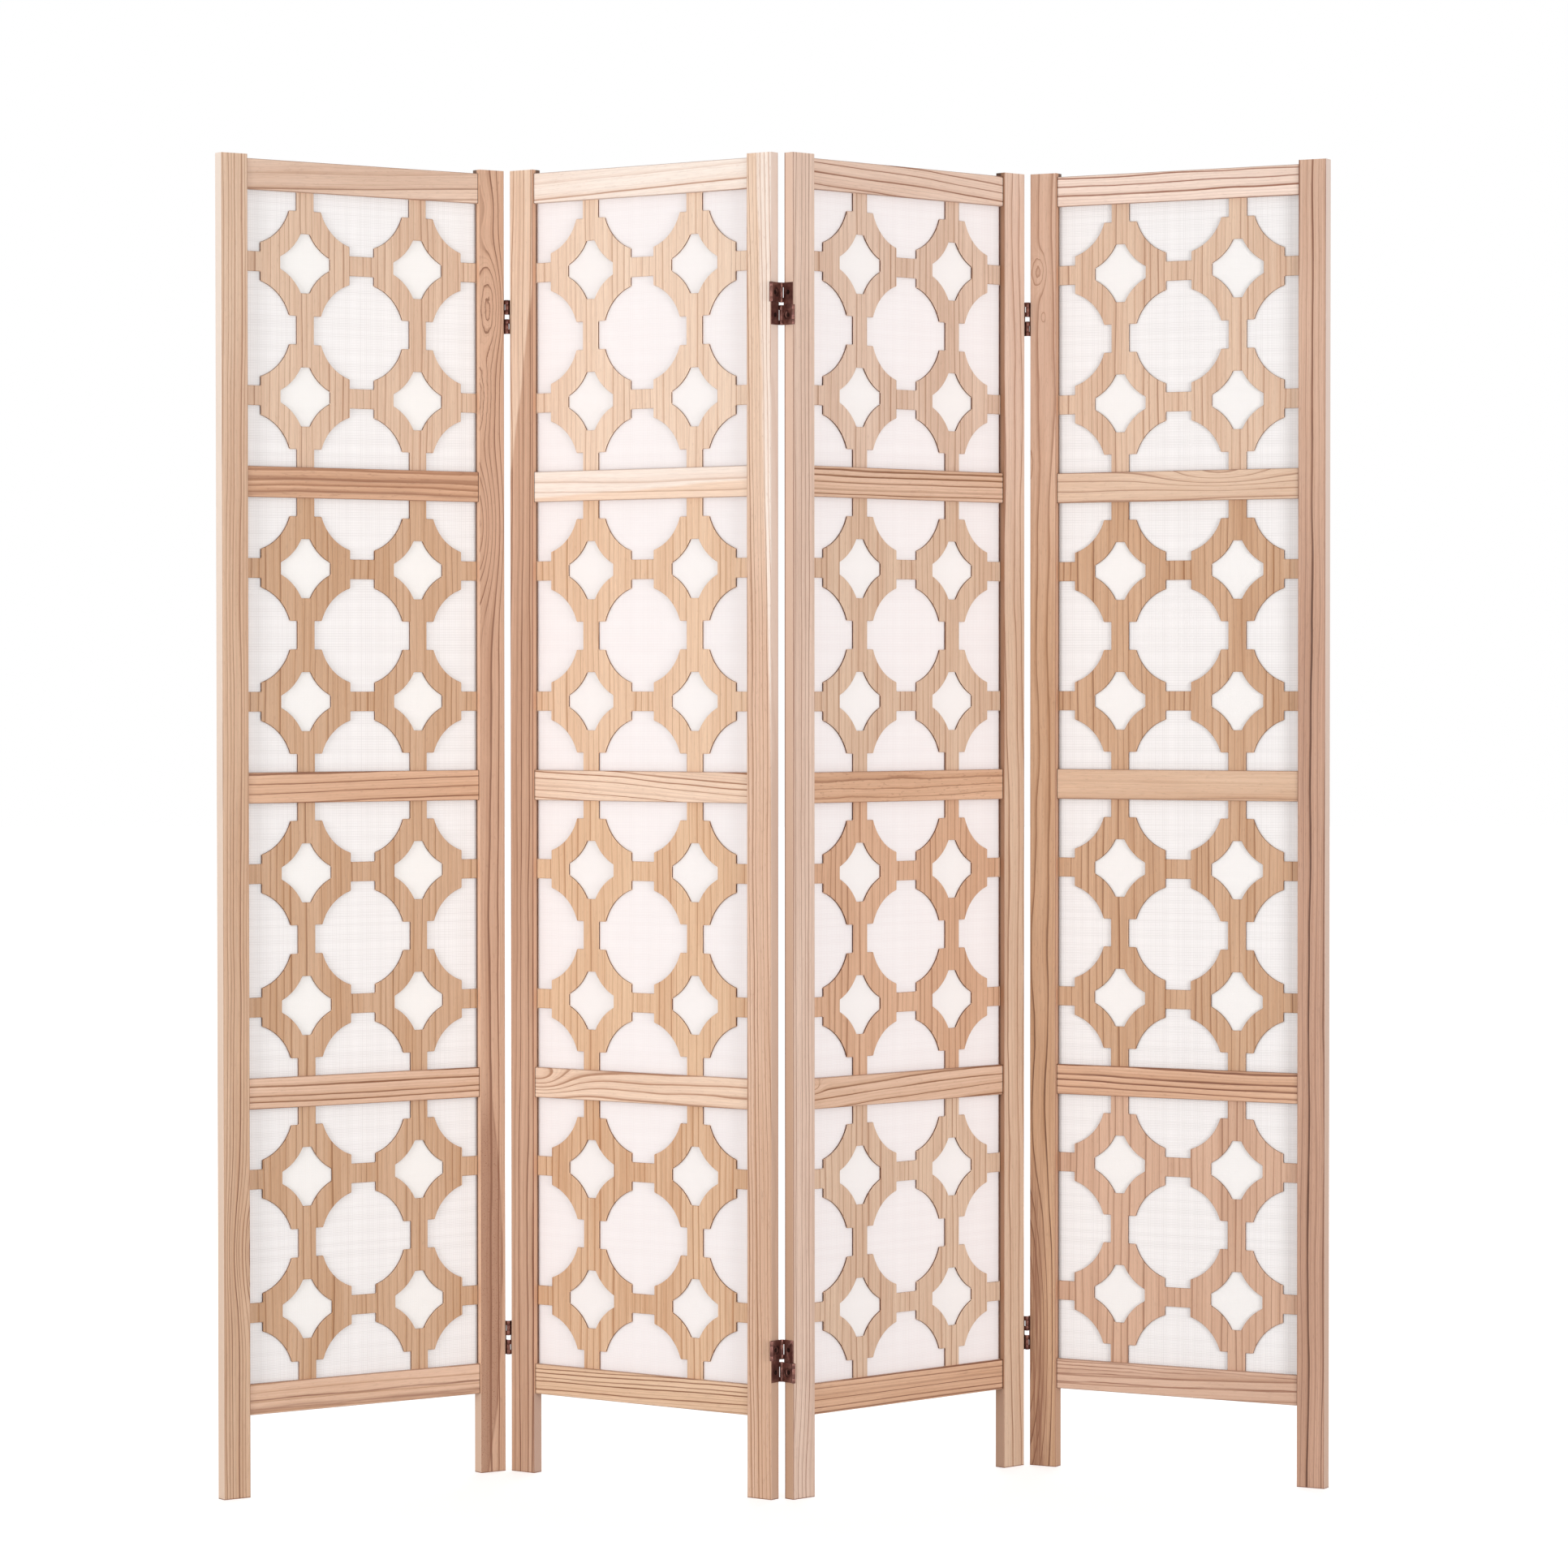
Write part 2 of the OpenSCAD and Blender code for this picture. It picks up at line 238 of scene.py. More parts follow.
def pattern(tree, vector, name):
    across, along, shift, detail, roughness = patterns[name]
    scaled = vectorCalc(tree, "MULTIPLY", vector, (across, across, along))
    moved = vectorCalc(tree, "ADD", scaled, [shift * share for share in shiftShares])
    inputs = {"Vector": moved, "Scale": 1.0, "Detail": detail, "Roughness": roughness}
    return addNode(tree, "ShaderNodeTexNoise", inputs).outputs["Fac"]


def swing(tree, vector, name):  # a pattern that swings about 0
    return minus(tree, pattern(tree, vector, name), 0.5)


def step(tree, value, name):
    return ease(tree, value, *steps[name])


def texture(tree, vector, name):  # a pattern with its own smooth step
    return step(tree, pattern(tree, vector, name), name)


# the wood: growth rings round a pith line along Z, cut by the faces of each bar or board
figure = {"unevenPace": 0.55, "uneven": 1.1, "growthPower": 4.0, "growthAll": 0.3, "growthLate": 0.5,
          "finer": 3.4, "finerShift": 0.37, "finerWide": 0.7, "finerLine": 0.15, "finerGrowth": 0.1,
          "clouds": 0.35, "streaks": 0.22, "lineHeight": -0.6, "dashHeight": -0.8}


def ringLines(tree, rings, ring, wide, least):  # the line that ends each ring, and the shade before it
    part = calc(tree, "FRACT", rings)
    chance = step(tree, chanceOf(tree, calc(tree, "FLOOR", rings)), "lineChance")
    chance = calc(tree, "MAXIMUM", chance, least)
    toEnd = times(tree, minus(tree, 1.0, part), ring)
    toEnd = calc(tree, "DIVIDE", toEnd, wide)
    line = times(tree, step(tree, toEnd, "lineStart"), step(tree, toEnd, "lineEnd"))
    growth = calc(tree, "POWER", part, figure["growthPower"])
    growth = times(tree, growth, figure["growthAll"])
    growth = calc(tree, "MULTIPLY_ADD", step(tree, toEnd, "growth"), figure["growthLate"], growth)
    return times(tree, line, chance), times(tree, growth, chance)


def timberGroup():
    tree = bpy.data.node_groups.new("timber", "ShaderNodeTree")
    addSockets(tree, "INPUT", "Vector", "Grain")
    addSockets(tree, "INPUT", "Color", "Early", "Late", "Line")
    addSockets(tree, "INPUT", "Float", "Ring", "Warp", "Rough", "Swell")
    addSockets(tree, "INPUT", "Float", "Line Strength", "Line Wide", "Flecks", "Shade")
    addSockets(tree, "OUTPUT", "Color", "Color")
    addSockets(tree, "OUTPUT", "Float", "Height", "Roughness")
    given = tree.nodes.new("NodeGroupInput").outputs
    grain = given["Grain"]
    split = axes(tree, grain)
    fromPith = vectorCalc(tree, "LENGTH", vectorFrom(tree, split[0], split[1]), result="Value")

    warped = calc(tree, "MULTIPLY_ADD", swing(tree, grain, "bend"), given["Warp"], fromPith)
    warped = calc(tree, "MULTIPLY_ADD", swing(tree, grain, "unrest"), given["Rough"], warped)
    warped = calc(tree, "ADD", warped, given["Swell"])
    rings = calc(tree, "DIVIDE", warped, given["Ring"])
    pace = times(tree, rings, figure["unevenPace"])
    inputs = {"W": pace, "Scale": 1.0, "Detail": 1.0, "Roughness": 0.5}
    uneven = addNode(tree, "ShaderNodeTexNoise", inputs, noise_dimensions="1D").outputs["Fac"]
    uneven = minus(tree, uneven, 0.5)
    rings = calc(tree, "MULTIPLY_ADD", uneven, figure["uneven"], rings)

    # a second, finer and fainter set of rings runs between the first
    nearKnot = step(tree, calc(tree, "ABSOLUTE", given["Swell"]), "nearKnot")
    line, growth = ringLines(tree, rings, given["Ring"], given["Line Wide"], nearKnot)
    finer = calc(tree, "MULTIPLY_ADD", rings, figure["finer"], figure["finerShift"])
    fineRing = calc(tree, "DIVIDE", given["Ring"], figure["finer"])
    fineWide = times(tree, given["Line Wide"], figure["finerWide"])
    fineLine, fineGrowth = ringLines(tree, finer, fineRing, fineWide, 0.0)
    line = calc(tree, "MAXIMUM", line, times(tree, fineLine, figure["finerLine"]))
    line = times(tree, line, texture(tree, grain, "patches"))
    line = times(tree, line, given["Line Strength"])

    depth = times(tree, growth, given["Shade"])
    depth = calc(tree, "MULTIPLY_ADD", fineGrowth, figure["finerGrowth"], depth)
    for name in ("clouds", "streaks"):
        depth = calc(tree, "MULTIPLY_ADD", texture(tree, grain, name), figure[name], depth)
    fibres = pattern(tree, grain, "fibres")
    dashes = texture(tree, grain, "dashes")
    grey = step(tree, fibres, "fibreShade")
    colour = mixColour(tree, depth, given["Early"], given["Late"])
    colour = mixColour(tree, line, colour, given["Line"])
    colour = mixColour(tree, times(tree, dashes, given["Flecks"]), colour, given["Line"])
    colour = mixColour(tree, 1.0, colour, vectorFrom(tree, grey, grey, grey), "MULTIPLY")

    height = calc(tree, "MULTIPLY_ADD", line, figure["lineHeight"], fibres)
    height = calc(tree, "MULTIPLY_ADD", dashes, figure["dashHeight"], height)
    results = {"Color": colour, "Height": height, "Roughness": step(tree, fibres, "fibreSheen")}
    feed(tree, tree.nodes.new("NodeGroupOutput"), results)
    return tree


timber = timberGroup()
print("timber shader made")

# tones: pale wood between two rings, the darker wood before a line, and the line itself
tones = {
    "ivory": ("#FDF0E5", "#EAD0BE", "#B07E60"),
    "pearl": ("#F4DED0", "#D9BBA8", "#92604A"),
    "blond": ("#F7DCC5", "#DAB499", "#9C6A4A"),
    "cream": ("#F3D9C2", "#D8B397", "#98684C"),
    "wheat": ("#EDCCAE", "#D1A581", "#84563A"),
    "straw": ("#E8C5A3", "#CB9B75", "#8A5A3C"),
    "butter": ("#E3BF9E", "#BC865B", "#7A4C30"),
    "blush": ("#EACFBD", "#CDA892", "#8E604A"),
    "rose": ("#E5CAB8", "#C4A28E", "#845848"),
    "dusk": ("#E3C7B3", "#C0997F", "#7C5038"),
    "sand": ("#E5C2AA", "#C59A7A", "#805236"),
    "barley": ("#DFC2A9", "#C0977B", "#7C5038"),
    "oat": ("#D8B59E", "#B68C72", "#7A4E38"),
    "rust": ("#E0B799", "#BC8C6B", "#72422A"),
    "hazel": ("#D9B89C", "#B98D6D", "#6E4833"),
    "toffee": ("#CFA989", "#A8774E", "#603A28"),
    "caramel": ("#CFAB8D", "#B2835A", "#664030"),
    "amber": ("#D5AF95", "#B18569", "#704632"),
    "russet": ("#D0A989", "#A97B56", "#5E3A26"),
    "umber": ("#CAA189", "#A3785F", "#56321F"),
}

# what a bar or board has where its own look says nothing else
plainWood = {"rough": 0.0011, "wide": 0.0013, "flecks": 0.12, "lean": 0.0}
woodLook = {"seedStep": 2.37, "boardAside": 0.037, "boardFurther": 3.1, "sapWaver": 0.008,
            "sapSoft": 0.0025, "band": "#8A5C44", "bandWaver": 0.006, "bandEnding": 0.12,
            "specks": 0.5, "topLines": (-0.4, 0.1), "shade": 0.4, "shadeByLines": 0.6,
            "bump": 0.25, "bumpDeep": 0.0004, "sheen": 0.35}
boardNumber = "boardNumber"  # the attribute that counts a panel's boards, from 0 at the bottom


def newMaterial(name):
    material = bpy.data.materials.new(name)
    material.use_nodes = True
    tree = material.node_tree
    return material, tree, tree.nodes["Principled BSDF"]


def panelCoordinates(tree, number):  # Object coordinates turned into a panel's own frame
    place = places[number]
    inputs = {"Vector": objectPlace(tree), "Location": place["middle"], "Rotation": (0, 0, place["turn"])}
    return made(tree, "ShaderNodeMapping", inputs, vector_type="TEXTURE")


def knotSwell(tree, vector, knots):  # how far each knot pushes the rings aside, most at its middle
    total = None
    frill = swing(tree, vector, "frill")
    for knot in knots:
        (across, up), (reachAcross, reachUp) = knot["at"], knot["reach"]
        offset = vectorCalc(tree, "SUBTRACT", vector, (across, 0, up))
        offset = vectorCalc(tree, "MULTIPLY", offset, (1 / reachAcross, 0, 1 / reachUp))
        squared = vectorCalc(tree, "DOT_PRODUCT", offset, offset, "Value")
        rise = calc(tree, "EXPONENT", times(tree, squared, -1.0))
        push = calc(tree, "MULTIPLY_ADD", frill, knot.get("frill", 0.0), knot["push"])
        rise = times(tree, rise, push)
        total = rise if total is None else calc(tree, "ADD", total, rise)
    return total


def leaned(tree, vector, lean):  # the rings lean across a bar
    shift = times(tree, axes(tree, vector)[2], -lean)
    return vectorCalc(tree, "ADD", vector, vectorFrom(tree, shift))


def blended(tree, share, colours, name):  # a wood's three colours, mixed towards those of another
    return [mixColour(tree, share, first, tone(second)) for first, second in zip(colours, tones[name])]


def sapwood(tree, vector, colours, sap):  # paler wood on one side of a boundary that follows the rings
    side, at, lean, name = sap
    split = axes(tree, vector)
    across = calc(tree, "MULTIPLY_ADD", swing(tree, vector, "sapEdge"), woodLook["sapWaver"], split[0])
    across = calc(tree, "MULTIPLY_ADD", split[2], -lean, across)
    low, high = at - woodLook["sapSoft"], at + woodLook["sapSoft"]
    share = ease(tree, times(tree, across, side), low, high)
    return blended(tree, share, colours, name)


def darkBand(tree, vector, colour, band):  # a dark streak that may bend round darker, speckled wood
    split = axes(tree, vector)
    across = calc(tree, "MULTIPLY_ADD", swing(tree, vector, "bandEdge"), woodLook["bandWaver"], split[0])
    up = minus(tree, split[2], band.get("turnsAt", 0.0))
    across = calc(tree, "MULTIPLY_ADD", times(tree, up, up), band.get("curve", 0.0), across)
    beyond = minus(tree, across, band["at"])
    share = ease(tree, calc(tree, "ABSOLUTE", beyond), 0.0, band["wide"], band["strength"], 0.0)
    share = times(tree, share, texture(tree, vector, "bandStreaks"))
    if "inside" in band:
        specks = texture(tree, vector, "bandSpecks")
        inner = calc(tree, "MULTIPLY_ADD", specks, woodLook["specks"], band["inside"])
        inner = times(tree, step(tree, beyond, "bandInside"), inner)
        share = calc(tree, "MAXIMUM", share, inner)
    if "until" in band:
        ending = ease(tree, split[2], band["until"] - woodLook["bandEnding"], band["until"], 1.0, 0.0)
        share = times(tree, share, ending)
    return mixColour(tree, share, colour, tone(woodLook["band"]))


def woodMaterial(name, number, middle, upright, look, shade=None):
    look = {**plainWood, **look}
    material, tree, shader = newMaterial(name)
    inputs = {"Vector": panelCoordinates(tree, number)}
    if upright:
        inputs["Location"] = (-middle[0], 0, -middle[1])
    else:  # across is down the rail, along is to its right
        inputs["Location"] = (middle[1], 0, -middle[0])
        inputs["Rotation"] = (0, -math.pi / 2, 0)
    own = made(tree, "ShaderNodeMapping", inputs, vector_type="POINT")
    up = axes(tree, own)[2]
    fromPith = (*look["pith"], look["seed"] * woodLook["seedStep"])
    grain = vectorCalc(tree, "ADD", leaned(tree, own, look["lean"]), fromPith)
    colours = [tone(code) for code in tones[look["tone"]]]
    if "above" in look:  # the boards of one panel differ in their cut and in tone
        count = addNode(tree, "ShaderNodeAttribute", attribute_name=boardNumber).outputs["Fac"]
        aside = times(tree, count, woodLook["boardAside"])
        further = times(tree, count, woodLook["boardFurther"])
        grain = vectorCalc(tree, "ADD", grain, vectorFrom(tree, x=aside, z=further))
        for board, other in enumerate(look["above"], 1):
            colours = blended(tree, calc(tree, "GREATER_THAN", count, board - 0.5), colours, other)
    if "top" in look:  # paler towards the stile's top
        colours = blended(tree, step(tree, up, "topTone"), colours, look["top"])
    if "sap" in look:
        colours = sapwood(tree, own, colours, look["sap"])
    strength = look["lines"]
    if "topLines" in look:
        strength = ease(tree, up, *woodLook["topLines"], look["lines"], look["topLines"])

    inputs = {"Grain": grain, "Ring": look["ring"], "Warp": look["warp"], "Rough": look["rough"],
              "Swell": knotSwell(tree, own, look["knots"]) if "knots" in look else 0.0,
              "Line Strength": strength, "Line Wide": look["wide"], "Flecks": look["flecks"],
              "Shade": look.get("shade", woodLook["shade"] + woodLook["shadeByLines"] * look["lines"])}
    inputs.update(zip(("Early", "Late", "Line"), colours))
    wood = addNode(tree, "ShaderNodeGroup", node_tree=timber)
    feed(tree, wood, inputs)
    colour = wood.outputs["Color"]
    for band in look.get("bands", ()):
        colour = darkBand(tree, own, colour, band)
    if shade:
        colour = shade(tree, own, colour)
    normal = bump(tree, wood.outputs["Height"], woodLook["bump"], woodLook["bumpDeep"])
    feed(tree, shader, {"Base Color": colour, "Roughness": wood.outputs["Roughness"], "Normal": normal,
                        "Specular IOR Level": woodLook["sheen"]})
    return material


# dark arrises and gaps, and painted light and shade: on the stiles' sides, in the fold gap, where the
# boards meet the stiles, at their feet and along the rails' edges; where each begins and ends, in metres,
# and how dark it gets
finish = {"gap": "#3A2016", "arris": "#7A4A34", "sideFrom": 0.0186, "sideSoft": 0.00025,
          "arrisFrom": 0.0012, "arrisTo": 0.0002, "sideReach": 0.8, "footClear": 0.001,
          "meetFrom": 0.0022, "meetTo": 0.0006, "meet": 0.75, "farFrom": 0.0055, "farSoft": 0.0006,
          "foot": 0.0007, "footSoft": 2.2, "footPaintedShade": 0.75,
          "railGapFrom": 0.0017, "railGapTo": 0.0005, "railGap": 0.85,
          "railArrisFrom": 0.0012, "railArrisTo": 0.0003, "railArris": 0.45}


# painted light and shade on a stile: its sides take tones that stand in for how they are lit, and dark
# lines stand in for shade where the boards meet it, in the fold gap and at its foot
def stileShade(inward, middle, look):  # a stile's sides and arrises, and the dark line where boards meet it
    arrisAndShadeTone, meetShadeTone = tone(finish["arris"]), tone(finish["gap"])

    def shade(tree, own, colour):
        split = axes(tree, own)
        across = times(tree, split[0], inward)
        away = times(tree, across, -1.0)
        low, high = finish["sideFrom"], finish["sideFrom"] + finish["sideSoft"]
        aboveFoot = railMiddles[0] - bar["railHigh"] / 2 - middle
        # painted light: the outer side runs from its darker tone at the floor to its paler one at the top
        paintedLightUp = ease(tree, split[2], -finish["sideReach"], finish["sideReach"])
        clear = ease(tree, split[2], aboveFoot - finish["footClear"], aboveFoot + finish["footClear"])
        # each side's tone is painted light and shade laid over the wood: the outer side lit, the inner side
        # shaded
        for side, key, share in ((away, "outer", paintedLightUp), (across, "inner", clear)):
            lowCode, highCode, strength, arris = look[key]
            edge = ease(tree, side, low - finish["arrisFrom"], low - finish["arrisTo"], 0.0, arris)
            colour = mixColour(tree, edge, colour, arrisAndShadeTone)
            face = mixColour(tree, share, tone(lowCode), tone(highCode))
            colour = mixColour(tree, ease(tree, side, low, high, 0.0, strength), colour, face)
        # painted shade: a dark line on the inner side where the boards meet it, above the foot
        meet = ease(tree, split[1], fretFront - finish["meetFrom"], fretFront - finish["meetTo"])
        meet = times(tree, meet, ease(tree, across, low, high, 0.0, finish["meet"]))
        colour = mixColour(tree, times(tree, meet, clear), colour, meetShadeTone)
        # painted shade: a dark line along the back of the outer side, where it looks into the narrow fold
        # gap beside the next panel
        farTo = finish["farFrom"] + finish["farSoft"]
        far = ease(tree, split[1], finish["farFrom"], farTo, 0.0, look.get("far", 0.0))
        far = times(tree, far, ease(tree, away, low, high))
        colour = mixColour(tree, far, colour, arrisAndShadeTone)
        # painted shade: darker at the very foot of the stile, where it stands on the floor
        footTop = finish["footSoft"] * finish["foot"] - middle
        foot = ease(tree, split[2], finish["foot"] - middle, footTop, finish["footPaintedShade"], 0.0)
        return mixColour(tree, foot, colour, arrisAndShadeTone)
    return shade


# painted shade along the rail's top and bottom edges; the dark line at each end is the joint, with painted
# shade where the stile stands in front of the rail
def railShade(tree, own, colour):  # a rail's arrises, and the thin dark gap of the joint at each end
    split = axes(tree, own)
    lines = ((0, bar["railHigh"] / 2, "railArris", "arris"), (2, openWide / 2, "railGap", "gap"))
    for axis, end, key, code in lines:
        low, high = end - finish[key + "From"], end - finish[key + "To"]
        share = ease(tree, calc(tree, "ABSOLUTE", split[axis]), low, high, 0.0, finish[key])
        colour = mixColour(tree, share, colour, tone(finish[code]))
    return colour


def dress(node, material):
    materials = frame["nodes"][node].data.materials
    materials.clear()
    materials.append(material)


# each bar's own figure: where its pith lay, how wide its rings are, how they lean and which knots they
# pass; outer is the painted light and shade on that side, its tone at the floor and at the top, inner the
# painted shade on the side towards the opening, its tone at the foot and above it, each with its strength
# and how dark the arris beside it is; far is how dark the painted shade in the fold gap gets
stileLooks = {
    (1, "left"): {
        "tone": "hazel", "pith": (0.15, 0.02), "ring": 0.006, "warp": 0.01, "lines": 1.0,
        "seed": 1, "lean": 0.004, "rough": 0.0006, "top": "barley", "topLines": 0.6,
        "outer": ("#E6CAB4", "#FBEADC", 0.88, 0.3), "inner": ("#C9A07E", "#C9A07E", 0.6, 0.3),
        "knots": [{"at": (0.026, -0.54), "reach": (0.036, 0.075), "push": 0.016},
                  {"at": (0.019, -0.54), "reach": (0.006, 0.05), "push": 0.008}]},
    (1, "right"): {
        "tone": "amber", "pith": (0.06, 0.05), "ring": 0.0115, "warp": 0.01, "lines": 0.75,
        "seed": 2, "flecks": 0.2, "wide": 0.0015, "rough": 0.0012,
        "outer": ("#C79B80", "#C79B80", 0.5, 0.2), "inner": ("#DEBCA3", "#E6BA9A", 0.9, 0.15),
        "bands": [{"at": 0.0135, "turnsAt": -0.585, "curve": 0.32, "wide": 0.0034,
                   "strength": 0.95, "inside": 0.48, "until": -0.3}],
        "knots": [{"at": (-0.024, 0.39), "reach": (0.028, 0.085), "push": -0.062},
                  {"at": (-0.026, 0.555), "reach": (0.022, 0.055), "push": -0.045, "frill": 0.02},
                  {"at": (-0.004, 0.672), "reach": (0.017, 0.058), "push": -0.048, "frill": 0.01},
                  {"at": (-0.006, 0.8), "reach": (0.014, 0.035), "push": -0.008}]},
    (2, "left"): {
        "tone": "amber", "pith": (0.12, 0.05), "ring": 0.0092, "warp": 0.012, "lines": 0.95,
        "seed": 3, "wide": 0.0015, "lean": 0.006, "sap": (-1, 0.0874, 0.152, "cream"),
        "outer": ("#CBA58A", "#CBA58A", 0.5, 0.2), "inner": ("#C8A794", "#D7AA8C", 0.88, 0.9)},
    (2, "right"): {
        "tone": "sand", "pith": (0.2, 0.03), "ring": 0.006, "warp": 0.01, "lines": 0.7,
        "seed": 4, "lean": -0.012, "flecks": 0.2, "sap": (1, 0.022, -0.03, "ivory"),
        "top": "cream", "far": 0.3,
        "outer": ("#C8A892", "#E4D0C3", 0.85, 0.25), "inner": ("#D9B08C", "#D9B08C", 0.6, 0.3)},
    (3, "left"): {
        "tone": "rose", "pith": (0.2, 0.02), "ring": 0.0085, "warp": 0.01, "lines": 0.9, "seed": 5,
        "outer": ("#CBA78C", "#EED0BC", 0.88, 0.8), "far": 0.8,
        "inner": ("#D9B49A", "#D9B49A", 0.6, 0.3),
        "knots": [{"at": (-0.01, -0.83), "reach": (0.04, 0.09), "push": 0.008}]},
    (3, "right"): {
        "tone": "barley", "pith": (0.1, 0.07), "ring": 0.012, "warp": 0.02, "lines": 0.6,
        "seed": 6, "lean": -0.01, "top": "blush", "outer": ("#D9B79F", "#D9B79F", 0.5, 0.2),
        "inner": ("#B9947C", "#A27557", 0.9, 0.5)},
    (4, "left"): {
        "tone": "russet", "pith": (0.05, 0.08), "ring": 0.0105, "warp": 0.018, "lines": 0.9,
        "seed": 7, "lean": 0.008, "top": "oat", "topLines": 0.3,
        "outer": ("#C79B7A", "#C79B7A", 0.5, 0.2),
        "inner": ("#C09476", "#C6987A", 0.88, 0.6),
        "bands": [{"at": -0.008, "turnsAt": -0.9, "curve": 0.06, "wide": 0.026, "strength": 0.95,
                   "until": -0.4}],
        "knots": [{"at": (-0.024, -0.68), "reach": (0.026, 0.15), "push": -0.045},
                  {"at": (-0.006, 0.722), "reach": (0.009, 0.02), "push": -0.02, "frill": 0.012},
                  {"at": (0.001, 0.662), "reach": (0.003, 0.006), "push": -0.01},
                  {"at": (-0.022, 0.47), "reach": (0.01, 0.022), "push": -0.01, "frill": 0.012}]},
    (4, "right"): {
        "tone": "umber", "pith": (0.2, 0.02), "ring": 0.01, "warp": 0.014, "lines": 1.0,
        "seed": 18, "lean": 0.004, "rough": 0.001, "wide": 0.0019, "top": "oat",
        "outer": ("#CAAA95", "#E6D2C6", 0.9, 0.6), "inner": ("#C79B7A", "#C79B7A", 0.6, 0.3)},
}
for (number, side), look in stileLooks.items():
    outward = -1 if side == "left" else 1
    name = f"panel_{number}_{side}_stile"
    middle = (places[number]["stileMiddle"] * outward, cadBox[1][2] / 2)  # across the panel and up
    dress(name, woodMaterial(name, number, middle, True, look, stileShade(-outward, middle[1], look)))

plainRail = {"pith": (0.07, 0.05), "ring": 0.008, "warp": 0.012, "lines": 0.8}
firstRailSeed = 20
railLooks = {
    "bottom_rail": (
        {"tone": "sand", "ring": 0.011, "lines": 0.25, "warp": 0.008, "rough": 0.0006,
         "bands": [{"at": 0.0015, "wide": 0.0022, "strength": 1.0},
                   {"at": 0.0135, "wide": 0.0055, "strength": 0.75}]},
        {"tone": "wheat", "ring": 0.0046, "lean": -0.02, "warp": 0.006, "lines": 1.0, "wide": 0.0011,
         "shade": 0.4},
        {"tone": "rust", "ring": 0.0062, "warp": 0.005, "lines": 1.0, "rough": 0.0005, "shade": 0.45},
        {"tone": "oat", "lines": 0.5, "ring": 0.013, "lean": -0.03, "rough": 0.001,
         "bands": [{"at": 0.01, "turnsAt": -0.25, "curve": 0.052, "wide": 0.0016, "strength": 1.0},
                   {"at": -0.0115, "turnsAt": 0.02, "curve": 0.05, "wide": 0.0014, "strength": 0.9,
                    "until": 0.1},
                   {"at": -0.0075, "turnsAt": 0.02, "curve": 0.02, "wide": 0.0013, "strength": 0.9,
                    "until": 0.02},
                   {"at": -0.0035, "turnsAt": 0.02, "curve": -0.06, "wide": 0.0016, "strength": 1.0,
                    "until": 0.08},
                   {"at": -0.0175, "turnsAt": -0.25, "curve": -0.02, "wide": 0.0012, "strength": 0.8}]}),
    "lower_rail": (
        {"tone": "sand", "ring": 0.0085, "warp": 0.008, "lines": 1.0, "wide": 0.0015},
        {"tone": "blond", "ring": 0.011, "lines": 0.7, "warp": 0.026, "wide": 0.0022,
         "knots": [{"at": (-0.008, -0.168), "reach": (0.02, 0.05), "push": -0.036}]},
        {"tone": "sand", "ring": 0.012, "lean": -0.05, "lines": 0.9,
         "knots": [{"at": (-0.01, -0.174), "reach": (0.008, 0.014), "push": -0.018}]},
        {"tone": "rust", "ring": 0.0078, "lines": 1.0, "lean": 0.01, "wide": 0.0018}),
    "middle_rail": (
        {"tone": "rust", "ring": 0.011, "lean": -0.02, "warp": 0.006},
        {"tone": "blond", "ring": 0.007, "lean": 0.06, "lines": 0.95, "rough": 0.0007, "wide": 0.0014,
         "shade": 0.6},
        {"tone": "rust", "ring": 0.012, "lines": 0.45, "warp": 0.024, "rough": 0.003, "flecks": 0.3},
        {"tone": "hazel", "ring": 0.016, "lines": 0.35, "warp": 0.008}),
    "upper_rail": (
        {"tone": "rust", "lines": 0.4, "flecks": 0.2, "warp": 0.01, "wide": 0.0026, "shade": 1.0,
         "bands": [{"at": -0.004, "curve": 0.1, "wide": 0.005, "strength": 0.5},
                   {"at": 0.0105, "curve": -0.12, "wide": 0.004, "strength": 0.55}]},
        {"tone": "blond", "ring": 0.013, "lines": 0.35, "flecks": 0.02,
         "sap": (-1, -0.006, -0.04, "ivory")},
        {"tone": "sand", "ring": 0.007, "lines": 1.0, "warp": 0.006, "rough": 0.0007, "wide": 0.0018},
        {"tone": "barley", "ring": 0.011, "lines": 0.5,
         "knots": [{"at": (-0.018, 0.06), "reach": (0.018, 0.08), "push": -0.026}]}),
    "top_rail": (
        {"tone": "dusk", "ring": 0.015, "lean": -0.05, "lines": 0.6, "warp": 0.008},
        {"tone": "ivory", "ring": 0.015, "lean": -0.03, "warp": 0.006, "rough": 0.0008},
        {"tone": "blush", "ring": 0.01, "lean": 0.05, "lines": 1.0, "rough": 0.0007},
        {"tone": "pearl", "ring": 0.01, "lines": 1.0, "warp": 0.014, "wide": 0.0018}),
}
for level, name in enumerate(railNames):
    for number in panelNumbers:
        seed = firstRailSeed + len(railNames) * level + number
        look = {**plainRail, "seed": seed, **railLooks[name][number - 1]}
        node = f"panel_{number}_{name}"
        dress(node, woodMaterial(node, number, (0, railMiddles[level]), False, look, railShade))
print("stiles and rails dressed")


